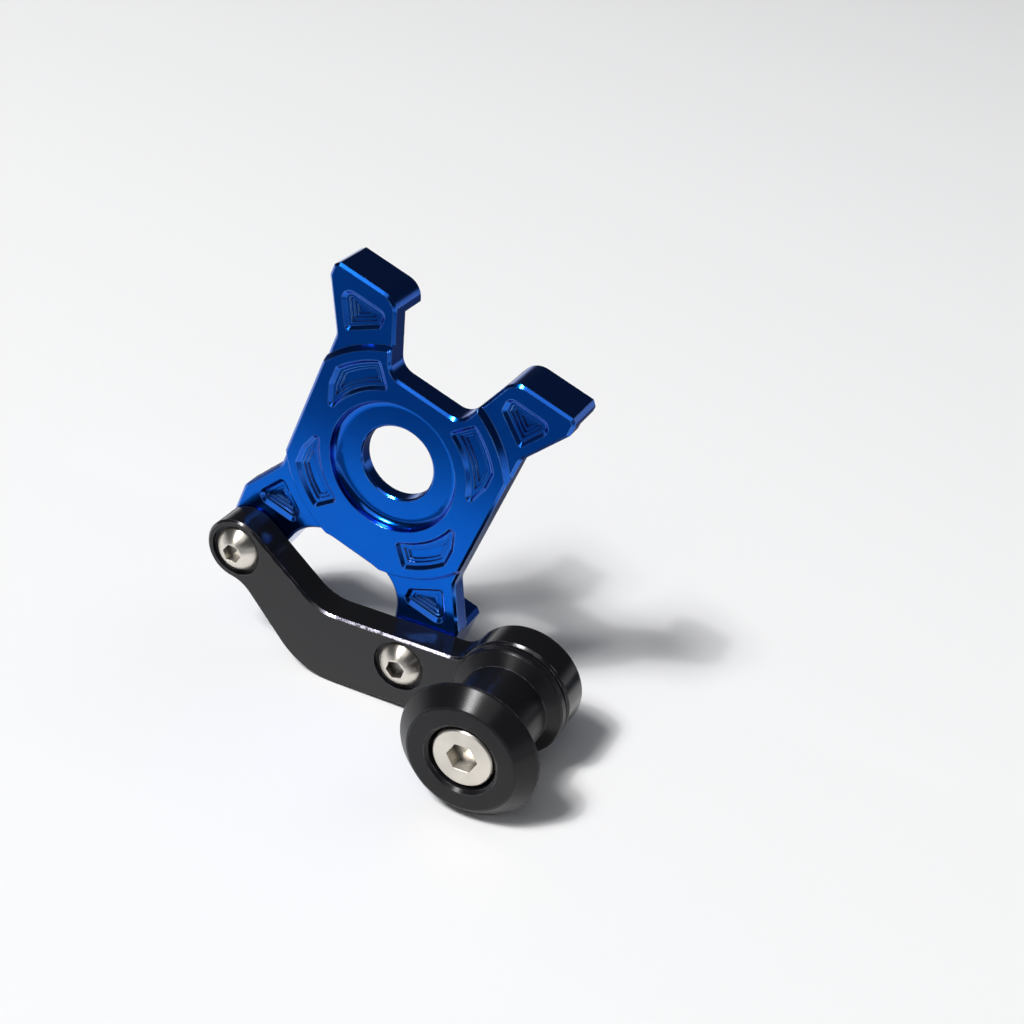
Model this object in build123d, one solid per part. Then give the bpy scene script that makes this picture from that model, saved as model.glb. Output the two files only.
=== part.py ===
from build123d import *
import math
import os

# Bolt-on swingarm spool: a milled axle plate, a bolted arm and a turned spool.
# Sizes are in millimetres. The pieces are drawn upright in the plate's own frame: X across the plate
# towards the spool, Z up the plate, and the front, where the spool stands out, towards -Y.
# The origin is the centre of the axle hole on the plate's flat back. "Out" is a height above that back.
# The finished pieces are then tipped about the axle, so that elbow and spool stand on one level.

# Axle plate, front view
axle_hole_d = 17.0
body_half_width = 23.4
body_disc_r = 26.2
valley_z = 19.3
valley_corner_r = 4.0
arm_inner_slant_deg = 20.5
arm_outer_slant_deg = 29.0
upper_knee_z = 30.4
lower_knee_z = -28.7
waist_corner_r = 3.0
upper_lug_top_z = 34.2
upper_lug_thickness = 3.5
upper_lug_inner_x = 14.4
upper_lug_corner_r = 4.3
lug_outer_x = 29.6
lug_bevel = 1.1
lug_edge_r = 0.9
lower_lug_top_z = -28.8
lower_lug_end_z = -46.0
lower_lug_corner_r = 2.5
lower_gap_top_z = -25.5
lower_gap_half_width = 12.5
lower_gap_slant_deg = 14.6
lower_gap_corner_r = 10.0

# Axle plate, thickness
plate_thickness = 4.3
body_rise = 1.4
body_wall_width = 1.0
upper_lug_reach = 7.1
lower_lug_reach = 8.2
plate_edge_chamfer = 0.6
lug_end_chamfer = 0.45

# Round seat for the axle nut, sunk into the plate's front
nut_seat_r = 15.1
nut_seat_depth = 2.4
nut_seat_cove_r = 2.0
axle_hole_chamfer = 0.4

# Stepped pockets in the body, one in each quarter
pocket_inner_r = 17.6
pocket_outer_r = 24.2
pocket_end_inner_deg = 64.5
pocket_end_outer_deg = 60.6
pocket_side_x = 20.1
pocket_bend_z = 9.0
pocket_tip_slant_deg = 18.0

# Stepped pockets in the four arms; the lower ones lie a little nearer to the body
arm_pocket_base_z = 30.4
arm_pocket_side_wall = 2.35
arm_pocket_inner_x = 15.0
arm_pocket_side_length = 3.85
arm_pocket_foot_deg = 52.5
arm_pocket_outer_r = 2.2
arm_pocket_inner_r = 1.6
lower_pocket_rise = 0.9

# All pockets: a sloping wall all round, then steps, each narrower and deeper than the one above
pocket_corner_r = 1.0
pocket_wall_width = 0.85
pocket_wall_depth = 0.7
step_count = 3
step_width = 0.68
step_depth = 0.42

# Spool arm
arm_thickness = 7.8
arm_end_r = 7.6
elbow_inner_x = 0.7
elbow_inner_z = -39.8
elbow_inner_r = 12.0
elbow_outer_x = 3.1
elbow_outer_z = -58.6
elbow_outer_r = 18.0
arm_inner_rise_deg = 20.5
arm_tail_rise_deg = 29.7
arm_neck_r = 5.0
arm_tail_r = 8.0
arm_edge_chamfer = 0.5
boss_r = 13.0

# Two screws that hold the arm to the plate's lower lugs, M6 with a button head
arm_screw_x = 22.6
arm_screw_z = -39.3
arm_screw_d = 6.0
arm_screw_length = 20.0
button_head_d = 10.5
button_head_h = 2.8
button_head_rim = 0.4
button_flat_d = 4.9
button_hex = 4.0
button_hex_depth = 1.9
button_hex_turn_front = 14.5
button_hex_turn_rear = 34.0
arm_screw_clearance = 0.25
button_recess_d = 12.4
button_recess_depth = 1.2

# Spool, from the arm's front face outwards
spool_x = 47.5
spool_z = -26.8
spool_foot_r = 11.2
spool_foot_h = 1.3
rear_flange_r = 12.9
rear_rim_h = 1.7
rear_cone_h = 1.8
waist_r = 9.9
waist_h = 12.8
front_cone_h = 3.2
front_flange_r = 15.8
front_rim_h = 0.6
front_bevel_h = 3.8
front_face_r = 12.2
flange_edge = 0.3

# Bolt that clamps the spool to the arm's boss, M8 with a low cap head
spool_bolt_d = 8.0
spool_bolt_length = 25.0
cap_head_d = 13.5
cap_head_h = 5.0
cap_head_chamfer = 0.3
cap_hex = 6.0
cap_hex_depth = 3.2
cap_hex_turn = 21.0
cap_head_sink = 0.8
cap_recess_d = 15.2
cap_recess_chamfer = 0.7
spool_bore_clearance = 0.25
boss_hole_chamfer = 1.2

# Radial space between a screw's thread and the hole that it is screwed into
thread_clearance = 0.02
screw_tip_chamfer = 0.6

# Heights that the sizes above fix
seat_out = plate_thickness
body_out = plate_thickness + body_rise
arm_front_out = seat_out + arm_thickness
nut_seat_out = body_out - nut_seat_depth
button_seat_out = arm_front_out - button_recess_depth
spool_h = (
    spool_foot_h + rear_rim_h + rear_cone_h + waist_h + front_cone_h + front_rim_h + front_bevel_h
)
spool_front_out = arm_front_out + spool_h
cap_seat_out = spool_front_out - cap_head_sink - cap_head_h

# Room that a cutting body reaches past the faces it opens
CUT_PAST = 1.0


def slab(face, back, front):
    """Solid between two heights, with its outline drawn as seen from the front."""
    return extrude(Plane.XZ.offset(back) * face, amount=front - back)


def turned(edges, x=0.0, z=0.0):
    """Body of revolution about an axis along Y; the edges are drawn as (radius, -out)."""
    return Pos(x, 0, z) * revolve(make_face(edges), Axis.Y)


def hole(radius, back, front, x=0.0, z=0.0, back_chamfer=0.0, front_chamfer=0.0):
    """Round cutting body through two faces, with an optional chamfer at each mouth."""
    back_r = radius + back_chamfer
    front_r = radius + front_chamfer
    corners = [(0, back - CUT_PAST), (back_r, back - CUT_PAST), (back_r, back)]
    corners += [(radius, back + back_chamfer), (radius, front - front_chamfer)]
    corners += [(front_r, front), (front_r, front + CUT_PAST), (0, front + CUT_PAST)]
    points = [p for i, p in enumerate(corners) if p != corners[i - 1]]
    return turned(Polyline([(r, -out) for r, out in points], close=True), x, z)


def polar(angle_deg, length=1.0):
    angle = math.radians(angle_deg)
    return Vector(length * math.cos(angle), length * math.sin(angle))


def crossing(p, p_deg, q, q_deg):
    """Point where the line through p at one angle meets the line through q at another."""
    along_p = polar(p_deg)
    normal_q = polar(q_deg + 90)
    return p + along_p * ((q - p).dot(normal_q) / along_p.dot(normal_q))


# Axle plate


def outer_edge_x(z):
    """Slanted outer edge of an upper arm, which widens from the body to a knee under the lug."""
    return lug_outer_x - (upper_knee_z - z) * math.tan(math.radians(arm_outer_slant_deg))


def plate_outline():
    inner_slant = math.tan(math.radians(arm_inner_slant_deg))
    gap_slant = math.tan(math.radians(lower_gap_slant_deg))
    widening_h = (lug_outer_x - body_half_width) / math.tan(math.radians(arm_outer_slant_deg))
    valley_x = upper_lug_inner_x - (upper_lug_top_z - valley_z) * inner_slant
    gap_foot_x = lower_gap_half_width + (lower_gap_top_z - lower_lug_end_z) * gap_slant
    half = [
        (valley_x, valley_z, valley_corner_r),
        (upper_lug_inner_x, upper_lug_top_z, upper_lug_corner_r),
        (lug_outer_x - lug_bevel, upper_lug_top_z, 0),
        (lug_outer_x, upper_lug_top_z - lug_bevel, lug_edge_r),
        (lug_outer_x, upper_knee_z, lug_edge_r),
        (body_half_width, upper_knee_z - widening_h, waist_corner_r),
        (body_half_width, lower_knee_z + widening_h, waist_corner_r),
        (lug_outer_x, lower_knee_z, waist_corner_r),
        (lug_outer_x, lower_lug_end_z, lower_lug_corner_r),
        (gap_foot_x, lower_lug_end_z, lower_lug_corner_r),
        (lower_gap_half_width, lower_gap_top_z, lower_gap_corner_r),
    ]
    points = [(x, z) for x, z, r in half] + [(-x, z) for x, z, r in reversed(half)]
    radii = [r for x, z, r in half] + [r for x, z, r in reversed(half)]
    return make_face(FilletPolyline(points, radius=radii, close=True))


def chamfered_slab(face, back, front, length):
    """Slab whose front edges all carry a chamfer."""
    body = slab(face, back, front)
    return chamfer(body.faces().sort_by(Axis.Y)[0].edges(), length)


def raised_body(outline):
    """Middle of the plate: a round boss with a sloping wall, cut off by the plate's own edges."""
    foot_r = body_disc_r + body_wall_width
    corners = [(0, 0), (foot_r, 0), (foot_r, -seat_out), (body_disc_r, -body_out), (0, -body_out)]
    return chamfered_slab(outline, 0, body_out, plate_edge_chamfer) & turned(Polyline(corners, close=True))


def lugs(outline, z_low, z_high, reach, broken_corners):
    """The two lugs of one end: the plate's outline between two heights, carried back past the plate."""
    band = Pos(0, (z_low + z_high) / 2) * Rectangle(2 * lug_outer_x, z_high - z_low)
    band = chamfer(band.vertices().group_by(Axis.Y)[broken_corners], lug_bevel)
    pair = slab(outline & band, -reach, seat_out - plate_edge_chamfer)
    ends = pair.faces().filter_by(Axis.Y).group_by(Axis.Y)[-1]
    return chamfer(ends.edges(), lug_end_chamfer)


def nut_seat():
    """Cutting body for the round seat of the axle nut, with a cove along its wall."""
    top = body_out + CUT_PAST
    corners = [(0, -nut_seat_out), (nut_seat_r, -nut_seat_out), (nut_seat_r, -top), (0, -top)]
    return turned(FilletPolyline(corners, radius=[0, nut_seat_cove_r, 0, 0], close=True))


def body_pocket():
    """Curved pocket beside the nut seat, in the upper right quarter."""
    ring = Circle(pocket_outer_r) - Circle(pocket_inner_r)
    end_inner = polar(pocket_end_inner_deg, pocket_inner_r)
    end_outer = polar(pocket_end_outer_deg, pocket_outer_r)
    bend = Vector(pocket_side_x, pocket_bend_z)
    frame = [
        end_inner - (end_outer - end_inner),
        end_outer + (end_outer - end_inner),
        Vector(pocket_side_x, 2 * pocket_outer_r),
        bend,
        crossing(bend, 90 - pocket_tip_slant_deg, Vector(0, 0), 0),
    ]
    return ring & make_face(Polyline(frame, close=True))


def arm_pocket():
    """Pocket in the upper right arm: it follows the slanted outer edge and narrows towards the body."""
    wall = arm_pocket_side_wall / math.cos(math.radians(arm_outer_slant_deg))
    side = Vector(outer_edge_x(upper_lug_top_z) - wall, upper_lug_top_z)
    side_deg = 90 - arm_outer_slant_deg
    base = Vector(arm_pocket_inner_x, arm_pocket_base_z)
    foot = base - Vector(0, arm_pocket_side_length)
    foot_deg = arm_pocket_foot_deg + 90
    corners = [
        crossing(side, side_deg, base, 0),
        base,
        foot,
        crossing(foot, foot_deg, side, side_deg),
    ]
    radii = [arm_pocket_outer_r, arm_pocket_inner_r, 0, 0]
    return make_face(FilletPolyline(corners, radius=radii, close=True))


def drawn_in(face, inset, corner_r=0.0):
    """Outline moved inwards all round, with every corner rounded by a radius."""
    core = offset(face, -(inset + corner_r), kind=Kind.INTERSECTION)
    return offset(core, corner_r, kind=Kind.ARC) if corner_r else core


def stepped_pocket(outline, face_out, lower_rise=0.0):
    """Cutting bodies of one pocket in all four quarters: the sloping wall, then each step."""
    mouth = slab(drawn_in(outline, 0, pocket_corner_r), face_out - pocket_wall_depth, face_out + CUT_PAST)
    foot = mouth.faces().sort_by(Axis.Y)[-1]
    cuts = [chamfer(foot.edges(), pocket_wall_width, pocket_wall_depth, reference=foot)]
    face = outline.face()
    room = face.outer_wire().distance_to(face.center()) - pocket_wall_width
    for step in range(1, min(step_count, int(room / step_width)) + 1):
        ledge = drawn_in(outline, pocket_wall_width + step * step_width)
        floor = face_out - pocket_wall_depth - step * step_depth
        cuts.append(slab(ledge, floor, face_out + CUT_PAST))
    right = cuts + [Pos(0, 0, lower_rise) * mirror(cut, Plane.XY) for cut in cuts]
    return right + [mirror(cut, Plane.YZ) for cut in right]


def make_axle_plate():
    outline = plate_outline()
    plate = chamfered_slab(outline, 0, seat_out, plate_edge_chamfer) + raised_body(outline)
    upper_under_z = upper_lug_top_z - upper_lug_thickness
    plate += lugs(outline, upper_under_z, upper_lug_top_z, upper_lug_reach, broken_corners=0)
    plate += lugs(outline, lower_lug_end_z, lower_lug_top_z, lower_lug_reach, broken_corners=-1)
    plate -= nut_seat()
    plate -= hole(axle_hole_d / 2, 0, nut_seat_out, front_chamfer=axle_hole_chamfer)
    for side in (-1, 1):
        thread_r = arm_screw_d / 2 + thread_clearance
        plate -= hole(thread_r, -lower_lug_reach, seat_out, side * arm_screw_x, arm_screw_z)
    plate -= stepped_pocket(body_pocket(), body_out)
    plate -= stepped_pocket(arm_pocket(), seat_out, lower_pocket_rise)
    return plate


# Spool arm


def arm_outline():
    end = Vector(-arm_screw_x, arm_screw_z)
    boss = Vector(spool_x, spool_z)
    inner = Vector(elbow_inner_x, elbow_inner_z)
    outer = Vector(elbow_outer_x, elbow_outer_z)
    to_end = end - inner
    end_reach = math.degrees(math.asin(arm_end_r / to_end.length))
    end_deg = math.degrees(math.atan2(to_end.Y, to_end.X)) - end_reach
    end_touch = end + polar(end_deg - 90, arm_end_r)
    to_boss = boss - outer
    boss_reach = math.degrees(math.asin(boss_r / to_boss.length))
    boss_deg = math.degrees(math.atan2(to_boss.Y, to_boss.X)) - boss_reach
    boss_touch = boss + polar(boss_deg - 90, boss_r)
    neck = crossing(inner, arm_inner_rise_deg, boss, arm_inner_rise_deg + 90)
    tail = crossing(outer, 180 - arm_tail_rise_deg, end, 90 - arm_tail_rise_deg)
    corners = [end_touch, inner, neck, boss, boss_touch, outer, tail, end]
    radii = [0, elbow_inner_r, 0, 0, 0, elbow_outer_r, 0, 0]
    bar = make_face(FilletPolyline(corners, radius=radii, close=True))
    end_round = Pos(end.X, end.Y) * Circle(arm_end_r)
    boss_round = Pos(boss.X, boss.Y) * Circle(boss_r)
    outline = bar + end_round + boss_round
    neck_corner = outline.vertices().sort_by_distance((neck - polar(arm_inner_rise_deg, boss_r)))[0]
    outline = fillet(neck_corner, arm_neck_r)
    tail_corner = outline.vertices().sort_by_distance(tail + polar(-arm_tail_rise_deg, arm_end_r))[0]
    return fillet(tail_corner, arm_tail_r)


def make_spool_arm():
    arm = slab(arm_outline(), seat_out, arm_front_out)
    flats = arm.faces().filter_by(Axis.Y).sort_by(Axis.Y)
    arm = chamfer(flats[0].edges() + flats[-1].edges(), arm_edge_chamfer)
    for side in (-1, 1):
        x = side * arm_screw_x
        arm -= hole(arm_screw_d / 2 + arm_screw_clearance, seat_out, arm_front_out, x, arm_screw_z)
        arm -= hole(button_recess_d / 2, button_seat_out + CUT_PAST, arm_front_out, x, arm_screw_z)
    thread_r = spool_bolt_d / 2 + thread_clearance
    arm -= hole(thread_r, seat_out, arm_front_out, spool_x, spool_z, back_chamfer=boss_hole_chamfer)
    return arm


# Spool


def edges_broken(profile, cuts):
    """Closed profile whose corners are each cut back by a length along both of their sides."""
    points = []
    for i, (corner, cut) in enumerate(zip(profile, cuts)):
        before = (profile[i - 1] - corner).normalized()
        after = (profile[(i + 1) % len(profile)] - corner).normalized()
        points += [corner + before * cut, corner + after * cut] if cut else [corner]
    return points


def make_spool():
    bore_r = spool_bolt_d / 2 + spool_bore_clearance
    rim = spool_foot_h + rear_rim_h
    waist = rim + rear_cone_h
    cone = waist + waist_h
    flange = cone + front_cone_h
    bevel = flange + front_rim_h
    corners = [
        (bore_r, 0, 0),
        (spool_foot_r, 0, 0),
        (spool_foot_r, spool_foot_h, 0),
        (rear_flange_r, spool_foot_h, 0),
        (rear_flange_r, rim, flange_edge),
        (waist_r, waist, 0),
        (waist_r, cone, 0),
        (front_flange_r, flange, flange_edge),
        (front_flange_r, bevel, flange_edge),
        (front_face_r, spool_h, flange_edge),
        (bore_r, spool_h, 0),
    ]
    profile = [Vector(r, -arm_front_out - out) for r, out, cut in corners]
    cuts = [cut for r, out, cut in corners]
    body = turned(Polyline(edges_broken(profile, cuts), close=True), spool_x, spool_z)
    recess = hole(
        cap_recess_d / 2,
        cap_seat_out + CUT_PAST,
        spool_front_out,
        spool_x,
        spool_z,
        front_chamfer=cap_recess_chamfer,
    )
    return body - recess


# Screws


def hex_socket(across_flats, depth, turn, top_out, x, z):
    """Cutting body for a hex key."""
    socket = Pos(x, z) * RegularPolygon(across_flats / 2, 6, major_radius=False, rotation=turn)
    return slab(socket, top_out - depth, top_out + CUT_PAST)


def shank(radius, length, seat, x, z):
    """Plain shank under a screw's head, with the chamfered tip."""
    tip = seat - length
    corners = [(0, seat), (radius, seat), (radius, tip + screw_tip_chamfer)]
    corners += [(radius - screw_tip_chamfer, tip), (0, tip)]
    return turned(Polyline([(r, -out) for r, out in corners], close=True), x, z)


def make_arm_screw(x, hex_turn):
    head_r = button_head_d / 2
    flat_r = button_flat_d / 2
    rim_out = button_seat_out + button_head_rim
    top_out = button_seat_out + button_head_h
    dome_h = button_head_h - button_head_rim
    centre_h = (head_r**2 - flat_r**2 - dome_h**2) / (2 * dome_h)
    rim_deg = math.degrees(math.atan2(centre_h, head_r))
    flat_deg = math.degrees(math.atan2(centre_h + dome_h, flat_r))
    middle = polar((rim_deg + flat_deg) / 2, math.hypot(head_r, centre_h))
    dome = ThreePointArc(
        (head_r, -rim_out), (middle.X, centre_h - middle.Y - rim_out), (flat_r, -top_out)
    )
    sides = Polyline(
        (flat_r, -top_out), (0, -top_out), (0, -button_seat_out), (head_r, -button_seat_out),
        (head_r, -rim_out),
    )
    head = turned([dome, sides], x, arm_screw_z)
    screw = head + shank(arm_screw_d / 2, arm_screw_length, button_seat_out, x, arm_screw_z)
    return screw - hex_socket(button_hex, button_hex_depth, hex_turn, top_out, x, arm_screw_z)


def make_spool_bolt():
    head_r = cap_head_d / 2
    top_out = cap_seat_out + cap_head_h
    corners = [(0, cap_seat_out), (head_r, cap_seat_out), (head_r, top_out - cap_head_chamfer)]
    corners += [(head_r - cap_head_chamfer, top_out), (0, top_out)]
    head = turned(Polyline([(r, -out) for r, out in corners], close=True), spool_x, spool_z)
    bolt = head + shank(spool_bolt_d / 2, spool_bolt_length, cap_seat_out, spool_x, spool_z)
    return bolt - hex_socket(cap_hex, cap_hex_depth, cap_hex_turn, top_out, spool_x, spool_z)


# Resting attitude


def rest_tip_deg():
    """Angle about the axle at which the elbow's round and the spool's front flange stand level."""
    to_boss = Vector(spool_x - elbow_outer_x, spool_z - elbow_outer_z)
    boss_reach = math.degrees(math.asin(boss_r / to_boss.length))
    boss_deg = math.degrees(math.atan2(to_boss.Y, to_boss.X)) - boss_reach
    middle_deg = (boss_deg + 180 - arm_tail_rise_deg) / 2
    half_deg = middle_deg - boss_deg
    centre = Vector(elbow_outer_x, elbow_outer_z) + polar(
        middle_deg, elbow_outer_r / math.sin(math.radians(half_deg))
    )
    to_spool = Vector(spool_x, spool_z) - centre
    line_deg = math.degrees(math.atan2(to_spool.Y, to_spool.X))
    return line_deg + math.degrees(math.asin((elbow_outer_r - front_flange_r) / to_spool.length))


pieces = {
    "axle_plate": make_axle_plate(),
    "spool_arm": make_spool_arm(),
    "spool": make_spool(),
    "spool_bolt": make_spool_bolt(),
    "arm_screw_front": make_arm_screw(-arm_screw_x, button_hex_turn_front),
    "arm_screw_rear": make_arm_screw(arm_screw_x, button_hex_turn_rear),
}

os.makedirs("parts", exist_ok=True)
for name, piece in pieces.items():
    export_step(Rot(0, rest_tip_deg(), 0) * piece, f"parts/{name}.step")
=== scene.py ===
import math

import bpy
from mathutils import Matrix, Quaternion, Vector


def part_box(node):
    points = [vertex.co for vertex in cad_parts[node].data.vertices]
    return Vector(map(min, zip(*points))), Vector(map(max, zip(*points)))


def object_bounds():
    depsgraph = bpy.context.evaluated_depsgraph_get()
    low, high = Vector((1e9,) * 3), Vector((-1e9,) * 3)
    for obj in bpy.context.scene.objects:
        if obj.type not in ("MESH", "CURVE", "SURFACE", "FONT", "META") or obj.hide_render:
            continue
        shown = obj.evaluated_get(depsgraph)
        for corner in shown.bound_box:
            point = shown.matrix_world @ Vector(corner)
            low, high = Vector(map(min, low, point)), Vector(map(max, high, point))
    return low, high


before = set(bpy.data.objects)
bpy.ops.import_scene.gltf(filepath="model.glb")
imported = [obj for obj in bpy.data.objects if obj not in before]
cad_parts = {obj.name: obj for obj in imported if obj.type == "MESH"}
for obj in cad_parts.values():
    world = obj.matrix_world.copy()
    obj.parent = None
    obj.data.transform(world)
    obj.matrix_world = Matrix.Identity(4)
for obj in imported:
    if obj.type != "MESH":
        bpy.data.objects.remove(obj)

cad_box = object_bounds()

# Axle plate
# The plate is milled from one slab of aluminium: a raised round body with a sunk nut seat, four arms with
# stepped pockets, and four lugs that reach back round the swingarm. It is dyed blue under a clear hard skin.

# Painted shade darkens the plate's pockets and grooves, and its edges are lighter, partly as wear and partly
# as painted highlight.
blue_face = (0.001, 0.122, 0.62, 1)
blue_deep = (0.001, 0.092, 0.52, 1)
# Darker blue painted as shade at the foot of pockets and grooves.
blue_painted_groove_shade = (0.001, 0.022, 0.17, 1)
# Lighter blue on the edges: partly thinned dye from wear, partly painted highlight that whitens the glints.
blue_wear_and_glint_edge = (0.100, 0.360, 0.90, 1)
dye_patch = 0.012
groove_shade_reach = 0.0016
skin_grain = 0.00045
skin_roughness = 0.13
face_skin = 0.05
side_skin = 0.28
edge_skin = 0.70
edge_r = 0.0003
mark_depth = 0.00003
axle_centre = (0, 0, 0)
body_mark_pitch = 0.0006
body_mark_height = 0.04
back_mark_centre = (0.03, 0.0, -0.16)
back_mark_pitch = 0.0011
back_mark_height = 0.75


def make(tree, kind, inputs=None, **settings):
    """New node with its settings, and its inputs either set or linked."""
    made = tree.nodes.new("ShaderNode" + kind)
    for name, value in settings.items():
        setattr(made, name, value)
    for name, value in (inputs or {}).items():
        if isinstance(value, bpy.types.NodeSocket):
            tree.links.new(value, made.inputs[name])
        else:
            made.inputs[name].default_value = value
    return made


def new_finish(name):
    """Empty material, its node tree and the point on the piece, in metres."""
    finish = bpy.data.materials.new(name)
    finish.use_nodes = True
    finish.node_tree.nodes.clear()
    place = make(finish.node_tree, "TexCoord").outputs["Object"]
    return finish, finish.node_tree, place


def close_finish(tree, inputs):
    """Principled shader with these inputs, as the surface of the material."""
    shader = make(tree, "BsdfPrincipled", inputs)
    make(tree, "OutputMaterial", {"Surface": shader.outputs["BSDF"]})


def dress(piece, finish):
    piece.data.materials.clear()
    piece.data.materials.append(finish)


def blend_by(tree, share, low, high, low_to=0.0, high_to=1.0):
    """Value that goes smoothly from one level to another as a share passes two limits."""
    inputs = {"Value": share, "From Min": low, "From Max": high, "To Min": low_to, "To Max": high_to}
    return make(tree, "MapRange", inputs, interpolation_type="SMOOTHSTEP").outputs["Result"]


def mixed_colour(tree, share, first, second):
    mix = make(tree, "Mix", {0: share, 6: first, 7: second}, data_type="RGBA")
    return mix.outputs[2]


def times(tree, first, second):
    return make(tree, "Math", {0: first, 1: second}, operation="MULTIPLY").outputs["Value"]


def plus(tree, first, second):
    return make(tree, "Math", {0: first, 1: second}, operation="ADD").outputs["Value"]


def along_axis(tree, vector, axis):
    return make(tree, "SeparateXYZ", {"Vector": vector}).outputs[axis]


def speckle(tree, place, size, detail=3.0):
    """Uneven grain of about this size, from 0 to 1."""
    inputs = {"Vector": place, "Scale": 1 / size, "Detail": detail, "Roughness": 0.55}
    return make(tree, "TexNoise", inputs).outputs["Fac"]


def distance_from(tree, place, centre):
    """Distance of each point from an axis along Y through the centre."""
    offset = make(tree, "VectorMath", {0: place, 1: centre}, operation="SUBTRACT").outputs["Vector"]
    flat = make(tree, "VectorMath", {0: offset, 1: (1, 0, 1)}, operation="MULTIPLY").outputs["Vector"]
    return make(tree, "VectorMath", {0: flat}, operation="LENGTH").outputs["Value"]


def ridges(tree, along, pitch, wander):
    """Fine ridges of a cutter, one at each pitch along a length, with a little wander."""
    turns = make(tree, "Math", {0: along, 1: math.tau / pitch, 2: wander}, operation="MULTIPLY_ADD")
    return make(tree, "Math", {0: turns.outputs["Value"]}, operation="SINE").outputs["Value"]


def open_share(tree, reach):
    """How open each point lies: near 0 at the foot of a groove, 1 on a free face; the finishes paint shade
    where it is low.
    """
    return make(tree, "AmbientOcclusion", {"Distance": reach}, samples=8, only_local=True).outputs["AO"]


def edge_of(tree, radius):
    """Rounded normal of the edges, and how far a point lies on one."""
    rounded = make(tree, "Bevel", {"Radius": radius}, samples=4).outputs["Normal"]
    flat = make(tree, "NewGeometry").outputs["True Normal"]
    along = make(tree, "VectorMath", {0: rounded, 1: flat}, operation="DOT_PRODUCT").outputs["Value"]
    return rounded, blend_by(tree, along, low=0.99, high=0.90)


def facing_y(tree):
    """How squarely the surface looks along Y: with its sign, and alike for front and back."""
    signed = along_axis(tree, make(tree, "NewGeometry").outputs["Normal"], "Y")
    return signed, make(tree, "Math", {0: signed}, operation="ABSOLUTE").outputs["Value"]


def marked(tree, height, rounded, strength, depth):
    """Normal of the rounded surface with fine marks of this depth in it."""
    inputs = {"Strength": strength, "Distance": depth, "Height": height, "Normal": rounded}
    return make(tree, "Bump", inputs).outputs["Normal"]


def milled_marks(tree, place, back):
    """Rings of the cutter: faint round the axle hole on every face, strong and wide on the plain back."""
    wander = times(tree, speckle(tree, place, 0.006), 2.5)
    body_marks = ridges(tree, distance_from(tree, place, axle_centre), body_mark_pitch, wander)
    back_marks = ridges(tree, distance_from(tree, place, back_mark_centre), back_mark_pitch, wander)
    on_back = times(tree, times(tree, back_marks, back), back_mark_height)
    return plus(tree, times(tree, body_marks, body_mark_height), on_back)


def blue_anodise():
    finish, tree, place = new_finish("blue_anodised_aluminium")
    grain = speckle(tree, place, skin_grain)
    patches = speckle(tree, place, dye_patch, detail=2.0)
    rounded, edge = edge_of(tree, edge_r)
    towards_back, facing = facing_y(tree)
    back = blend_by(tree, towards_back, low=0.9, high=0.99)
    skin = blend_by(tree, facing, 0.90, 0.98, low_to=side_skin, high_to=face_skin)
    height = plus(tree, milled_marks(tree, place, back), times(tree, grain, 0.5))
    shade = mixed_colour(tree, patches, blue_deep, blue_face)
    # Painted shade: the colour goes to the dark groove blue where ambient occlusion finds a recess.
    unshaded_share = blend_by(tree, open_share(tree, groove_shade_reach), low=0.38, high=0.90)
    groove_shaded = mixed_colour(tree, unshaded_share, blue_painted_groove_shade, shade)
    # Edges lighter in patches, partly as wear and partly as painted highlight.
    lighter_edge_share = times(tree, edge, blend_by(tree, patches, low=0.30, high=0.60))
    close_finish(tree, {
        "Base Color": mixed_colour(tree, lighter_edge_share, groove_shaded, blue_wear_and_glint_edge),
        "Metallic": 1.0,
        "Roughness": plus(tree, times(tree, grain, 0.07), skin_roughness),
        "Coat Weight": plus(tree, skin, times(tree, edge, edge_skin)),
        "Coat Roughness": 0.05,
        "Coat IOR": 1.6,
        "Coat Normal": rounded,
        "Normal": marked(tree, height, rounded, strength=0.25, depth=mark_depth),
    })
    return finish


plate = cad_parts["axle_plate"]
dress(plate, blue_anodise())

# Spool arm
# The arm is a bar milled from aluminium plate, with a bend at its elbow, two sunk screw seats and a round
# boss for the spool. It is anodised black; from elbow to neck its upper chamfer is lighter and metallic,
# partly as wear and partly as painted highlight.

black_face = (0.007, 0.007, 0.008, 1)
black_grain = 0.0003
rubbed_edge = (0.15, 0.145, 0.17, 1)
# Lighter metallic strip on the upper chamfer: partly wear through the black skin, partly painted highlight
# where the chamfer catches the key light.
metal_wear_and_sheen = (0.34, 0.33, 0.40, 1)
strip_metallic = 0.8
wear_and_sheen_span = (-0.0125, 0.0225)
strip_fade = 0.003
wear_and_sheen_way = (0, -0.707, 0.707)
nick_size = 0.0009
arm_gloss = 0.5
arm_face_roughness = 0.38
arm_side_roughness = 0.10


def wear_and_sheen_strip(tree, place, first_x, last_x):
    """Share of the lighter metallic strip, partly wear and partly painted highlight, on the chamfer that
    faces up and forward, between two places along the arm.
    """
    normal = make(tree, "NewGeometry").outputs["True Normal"]
    upward = make(tree, "VectorMath", {0: normal, 1: wear_and_sheen_way}, operation="DOT_PRODUCT").outputs["Value"]
    x = along_axis(tree, place, "X")
    begun = blend_by(tree, x, first_x, first_x + strip_fade)
    not_over = blend_by(tree, x, last_x, last_x - strip_fade)
    nicks = blend_by(tree, speckle(tree, place, nick_size), low=0.36, high=0.54, low_to=0.15)
    on_chamfer = blend_by(tree, upward, low=0.93, high=0.985)
    return times(tree, times(tree, on_chamfer, times(tree, begun, not_over)), nicks)


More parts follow.
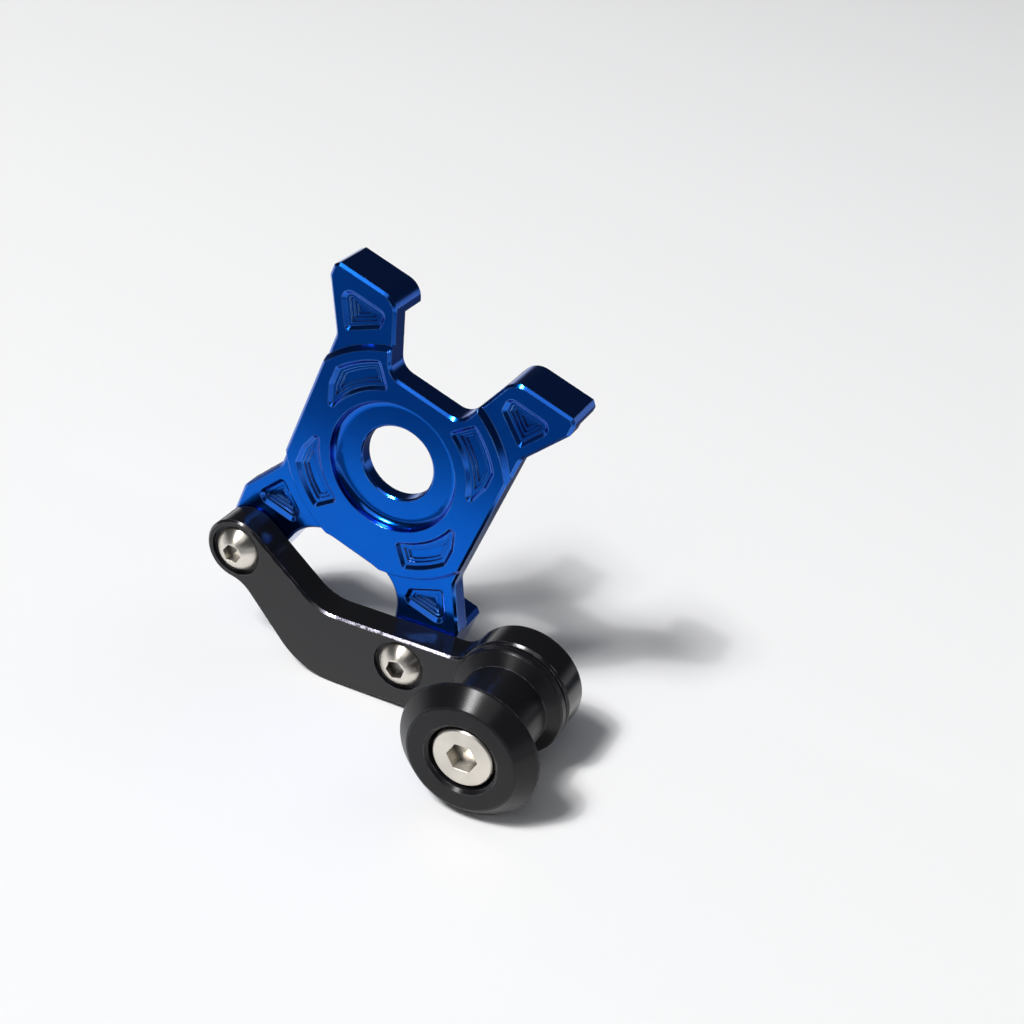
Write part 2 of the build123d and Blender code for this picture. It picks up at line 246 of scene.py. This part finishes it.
def across_rings(tree, place, centre):
    """Direction on the surface that runs across the rings a lathe leaves round an axis along Y."""
    offset = make(tree, "VectorMath", {0: place, 1: centre}, operation="SUBTRACT").outputs["Vector"]
    ring = make(tree, "VectorMath", {0: (0, 1, 0), 1: offset}, operation="CROSS_PRODUCT").outputs["Vector"]
    normal = make(tree, "NewGeometry").outputs["Normal"]
    return make(tree, "VectorMath", {0: ring, 1: normal}, operation="CROSS_PRODUCT").outputs["Vector"]


def black_anodise(
    name, face_roughness, side_roughness, gloss, wear_and_sheen=None, marks=None, turned_about=None, streak=0.0
):
    """Black skin; it can have a lighter strip of wear and painted highlight along a span, or have turned
    marks and streaks round an axis.
    """
    finish, tree, place = new_finish(name)
    grain = speckle(tree, place, black_grain)
    rounded, edge = edge_of(tree, edge_r)
    if marks is None:
        height = times(tree, grain, 0.6)
    else:
        height = plus(tree, times(tree, grain, 0.3), marks(tree, place))
    lighter_edge_share = times(tree, edge, blend_by(tree, speckle(tree, place, 0.002), low=0.35, high=0.75))
    facing = facing_y(tree)[1]
    roughness = blend_by(tree, facing, 0.80, 0.99, low_to=side_roughness, high_to=face_roughness)
    inputs = {
        "Base Color": mixed_colour(tree, lighter_edge_share, black_face, rubbed_edge),
        "Roughness": plus(tree, times(tree, grain, 0.10), roughness),
        "Specular IOR Level": gloss,
        "Normal": marked(tree, height, rounded, strength=0.25, depth=mark_depth),
    }
    if wear_and_sheen is not None:
        # Partly wear, partly painted highlight along the upper chamfer.
        wear_and_sheen_share = wear_and_sheen_strip(tree, place, *wear_and_sheen)
        inputs["Base Color"] = mixed_colour(tree, wear_and_sheen_share, inputs["Base Color"], metal_wear_and_sheen)
        inputs["Metallic"] = times(tree, wear_and_sheen_share, strip_metallic)
    if turned_about is not None:
        inputs |= {"Anisotropic": streak, "Tangent": across_rings(tree, place, turned_about)}
    close_finish(tree, inputs)
    return finish


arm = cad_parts["spool_arm"]
dress(arm, black_anodise(
    "black_anodised_bar", arm_face_roughness, arm_side_roughness, arm_gloss, wear_and_sheen=wear_and_sheen_span
))

# Arm screws
# Two stainless button-head screws with hexagon sockets hold the arm to the plate's lower lugs. Their domed
# heads lie sunk in the arm and show the fine rings of the lathe. The sockets are darkened inside with
# painted shade.

steel_dark = (0.64, 0.59, 0.51, 1)
steel_light = (0.90, 0.86, 0.78, 1)
# Dark steel painted as shade inside the hex sockets.
steel_painted_socket_shade = (0.16, 0.15, 0.14, 1)
socket_shade_reach = 0.003
steel_grain = 0.00025
steel_ring_pitch = 0.00022
steel_streak = 0.7
steel_edge_r = 0.0002
steel_mark_depth = 0.00002
screw_roughness = 0.24


def turned_steel(name, centre, roughness):
    """Steel with fine rings round the screw's own axis, and painted shade in its socket."""
    finish, tree, place = new_finish(name)
    wander = times(tree, speckle(tree, place, 0.002), 3.0)
    rings = ridges(tree, distance_from(tree, place, centre), steel_ring_pitch, wander)
    grain = speckle(tree, place, steel_grain)
    rounded = edge_of(tree, steel_edge_r)[0]
    height = plus(tree, times(tree, rings, 0.35), times(tree, grain, 0.5))
    shade = mixed_colour(tree, grain, steel_dark, steel_light)
    # Painted shade: the colour goes to the dark socket steel where ambient occlusion finds a recess.
    unshaded_share = blend_by(tree, open_share(tree, socket_shade_reach), low=0.40, high=0.85)
    close_finish(tree, {
        "Base Color": mixed_colour(tree, unshaded_share, steel_painted_socket_shade, shade),
        "Metallic": 1.0,
        "Roughness": plus(tree, times(tree, grain, 0.14), roughness),
        "Anisotropic": steel_streak,
        "Tangent": across_rings(tree, place, centre),
        "Normal": marked(tree, height, rounded, strength=0.3, depth=steel_mark_depth),
    })
    return finish


def middle_of(node):
    low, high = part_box(node)
    return (low + high) / 2


for name in ("arm_screw_front", "arm_screw_rear"):
    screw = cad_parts[name]
    dress(screw, turned_steel("steel_of_" + name, middle_of(name), screw_roughness))

# Spool
# The spool is turned from aluminium bar and anodised black: a small rear flange, a straight waist for the
# stand's hook and a large front flange with a broad bevel. The tool's rings show on every face.

spool_axis = middle_of("spool")
spool_gloss = 0.30
spool_streak = 0.75
spool_face_roughness = 0.30
spool_side_roughness = 0.24
turning_pitch = 0.0002
turning_height = 0.08


def turned_marks(tree, place):
    """Rings on the faces and along the waist, as one tool leaves them."""
    wander = times(tree, speckle(tree, place, 0.004), 2.0)
    rings = ridges(tree, distance_from(tree, place, spool_axis), turning_pitch, wander)
    grooves = ridges(tree, along_axis(tree, place, "Y"), turning_pitch, wander)
    return times(tree, plus(tree, rings, grooves), turning_height)


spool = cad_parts["spool"]
dress(spool, black_anodise(
    "black_anodised_turning", spool_face_roughness, spool_side_roughness, spool_gloss,
    marks=turned_marks, turned_about=spool_axis, streak=spool_streak,
))

# Spool bolt
# A stainless bolt with a low cap head lies sunk in the spool's front face and clamps it to the boss.
# Its flat head is turned like the screws' heads, and a little duller.

bolt_roughness = 0.30

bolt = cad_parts["spool_bolt"]
dress(bolt, turned_steel("steel_of_spool_bolt", middle_of("spool_bolt"), bolt_roughness))

# Table and light
# The part stands on a plain white table in a dark room. One softbox from the left and above throws soft
# shadows to the right, and a wide dim one in front lights the upper edges. Dark cards that only mirror in
# the metal lie in front of the part and behind it, so that the plate goes from a bright to a deep blue.

table_size = 3.0
table_z = cad_box[0].z
table_white = (0.96, 0.96, 0.96, 1)
card_lift = 0.0005
room_level = (0.60, 0.60, 0.62, 1)
room_overhead = (0.035, 0.038, 0.045, 1)
room_dark_from = 0.22
aim = Vector((0.02957, -0.00887, 0.00156))


def put_in_scene(name, data):
    """New object of these data, in the scene."""
    item = bpy.data.objects.new(name, data)
    bpy.context.scene.collection.objects.link(item)
    return item


def sheet(name, corners, z, finish):
    mesh = bpy.data.meshes.new(name)
    mesh.from_pydata([(x, y, z) for x, y in corners], [], [(0, 1, 2, 3)])
    mesh.materials.append(finish)
    return put_in_scene(name, mesh)


def table():
    half = table_size / 2
    finish, tree, _ = new_finish("white_table")
    close_finish(tree, {"Base Color": table_white, "Roughness": 0.7, "Specular IOR Level": 0.1})
    corners = [(-half, -half), (half, -half), (half, half), (-half, half)]
    sheet("table_top", corners, table_z, finish)


def shaded_card(name, near_y, dark_y, far_y, left_x, right_x, darkest):
    """Card on the table that is seen in the metal alone; it goes from white to dark away from the part."""
    finish, tree, place = new_finish(name + "_paper")
    share = blend_by(tree, along_axis(tree, place, "Y"), near_y, dark_y)
    shade = mixed_colour(tree, share, table_white, darkest)
    close_finish(tree, {"Base Color": shade, "Roughness": 0.9, "Specular IOR Level": 0.0})
    corners = [(left_x, near_y), (left_x, far_y), (right_x, far_y), (right_x, near_y)]
    card = sheet(name, corners, table_z + card_lift, finish)
    card.visible_camera = False
    card.visible_diffuse = False
    card.visible_shadow = False


def softbox(name, towards, away, width, power, mirrored=True):
    """Square lamp at a distance from the part, facing it; it can be kept out of what the metal mirrors."""
    lamp = bpy.data.lights.new(name, "AREA")
    lamp.shape = "SQUARE"
    lamp.size = width
    lamp.energy = power
    direction = Vector(towards).normalized()
    placed = put_in_scene(name, lamp)
    placed.location = aim + direction * away
    placed.rotation_euler = direction.to_track_quat("Z", "Y").to_euler()
    placed.visible_glossy = mirrored


def room():
    """Dark room whose walls are pale low down, where the metal mirrors them."""
    world = bpy.data.worlds.new("room")
    world.use_nodes = True
    tree = world.node_tree
    tree.nodes.clear()
    up = along_axis(tree, make(tree, "TexCoord").outputs["Generated"], "Z")
    overhead = blend_by(tree, up, 0.0, room_dark_from)
    shade = mixed_colour(tree, overhead, room_level, room_overhead)
    glow = make(tree, "Background", {"Color": shade, "Strength": 1.0})
    make(tree, "OutputWorld", {"Surface": glow.outputs["Background"]})
    bpy.context.scene.world = world


table()
shaded_card(
    "front_card", near_y=-0.064, dark_y=-0.118, far_y=-0.9, left_x=-0.6, right_x=0.4,
    darkest=(0.22, 0.235, 0.27, 1),
)
shaded_card(
    "back_card", near_y=0.030, dark_y=0.070, far_y=0.5, left_x=-0.12, right_x=0.30,
    darkest=(0.10, 0.11, 0.14, 1),
)
softbox("key_softbox", towards=(-0.27, -0.51, 0.82), away=5.0, width=1.1, power=204.0)
softbox("spark", towards=(-0.29, -0.51, 0.80), away=4.8, width=0.16, power=38.0)
softbox("wide_front_softbox", towards=(-0.05, -0.58, 0.81), away=4.4, width=3.2, power=31.0)
softbox("fill_softbox", towards=(0.45, 0.45, 0.77), away=5.0, width=3.0, power=13.0, mirrored=False)
room()

# Camera
# The camera stands to the right of the part and above it, a little tilted, at the photograph's distance.
# Its aim, roll and lens come from a fit to the plate's corners, its holes and its lugs.

camera_azimuth = math.radians(21.0)
camera_elevation = math.radians(31.01)
camera_distance = 0.31
camera_roll = math.radians(7.91)
lens = 53.74
sensor = 36.0
seen_from = 0.01
seen_to = 20.0

away = Vector((
    math.sin(camera_azimuth) * math.cos(camera_elevation),
    -math.cos(camera_azimuth) * math.cos(camera_elevation),
    math.sin(camera_elevation),
))
view = bpy.data.cameras.new("camera")
view.lens = lens
view.sensor_width = sensor
view.clip_start = seen_from
view.clip_end = seen_to
camera = put_in_scene("camera", view)
camera.location = aim + away * camera_distance
camera.rotation_mode = "QUATERNION"
camera.rotation_quaternion = away.to_track_quat("Z", "Y") @ Quaternion((0, 0, 1), camera_roll)
bpy.context.scene.camera = camera
bpy.context.scene.view_settings.view_transform = "Standard"
